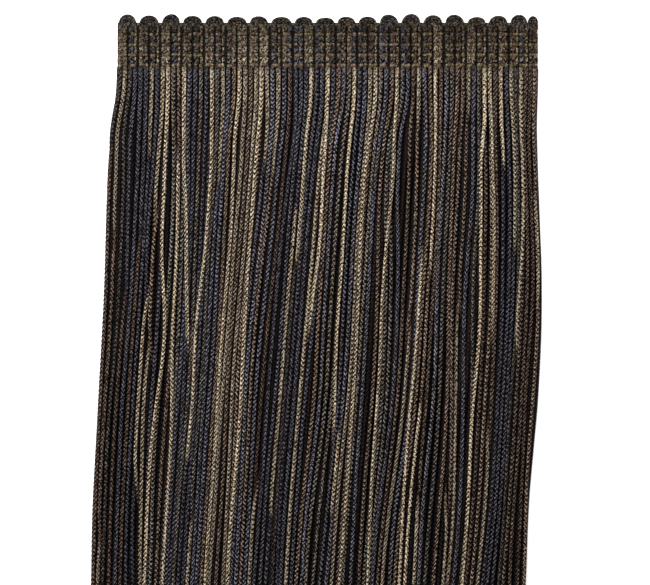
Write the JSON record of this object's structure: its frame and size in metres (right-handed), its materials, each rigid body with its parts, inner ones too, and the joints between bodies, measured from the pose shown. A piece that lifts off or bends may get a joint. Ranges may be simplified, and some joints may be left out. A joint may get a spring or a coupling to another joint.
{
  "type": "chainette fringe",
  "caption": "Length of chainette fringe trimming: a narrow scalloped heading of looped yarns bound by stitched rows, with a long dense skirt of chained yarn strands.",
  "frame": {"origin": "centre of the fringe's outline on the surface that it lies on", "axes": "+X along the heading, to the right when the face is seen with the heading at the top; +Y from the strand ends up to the scallops; +Z out of the face"},
  "size_m": [0.1352, 0.182, 0.0045],
  "materials": {
    "heading": "dark looped rayon yarns, navy, charcoal, brown and tan",
    "skirt": "chained rayon yarns with a soft sheen, tan, navy, brown and charcoal side by side",
    "binding_thread": "fine olive-gold to rust stitching thread",
    "tan_yarn": "chained rayon yarn, tan with a soft sheen",
    "navy_yarn": "chained rayon yarn, slate navy with a soft sheen",
    "brown_yarn": "chained rayon yarn, muted brown with a soft sheen",
    "charcoal_yarn": "chained rayon yarn, charcoal with a soft sheen"
  },
  "bodies": {
    "root": {"heading": "heading", "skirt": "skirt", "binding_row_1": "binding_thread", "binding_row_2": "binding_thread", "binding_row_3": "binding_thread", "binding_row_4": "binding_thread"}
  },
  "joints": []
}
